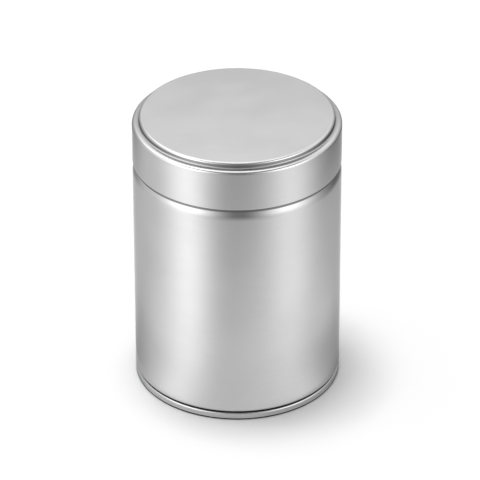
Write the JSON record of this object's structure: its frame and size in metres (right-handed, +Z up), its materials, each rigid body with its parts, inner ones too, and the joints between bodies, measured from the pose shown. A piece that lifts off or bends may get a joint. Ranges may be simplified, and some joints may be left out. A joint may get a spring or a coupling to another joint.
{
  "type": "tea tin",
  "caption": "Round slip-lid tea tin of satin tinplate, shut: a straight wall with a drawn-in shoulder, a stepped and hemmed cap flush with the wall, and a seamed bottom end.",
  "frame": {"origin": "middle of the face that the tin stands on, on the tin's axis", "axes": "+Z up along the tin's axis, towards the lid; the wall's side seam is at +Y, the back"},
  "size_m": [0.076, 0.076, 0.107],
  "materials": {
    "lid_tinplate": "satin tinplate, faint rolling grain",
    "wall_tinplate": "satin tinplate, grain round the wall",
    "base_tinplate": "satin tinplate, slightly rubbed on the seam"
  },
  "bodies": {
    "root": {"lid": "lid_tinplate", "body": "wall_tinplate", "base": "base_tinplate"}
  },
  "joints": []
}
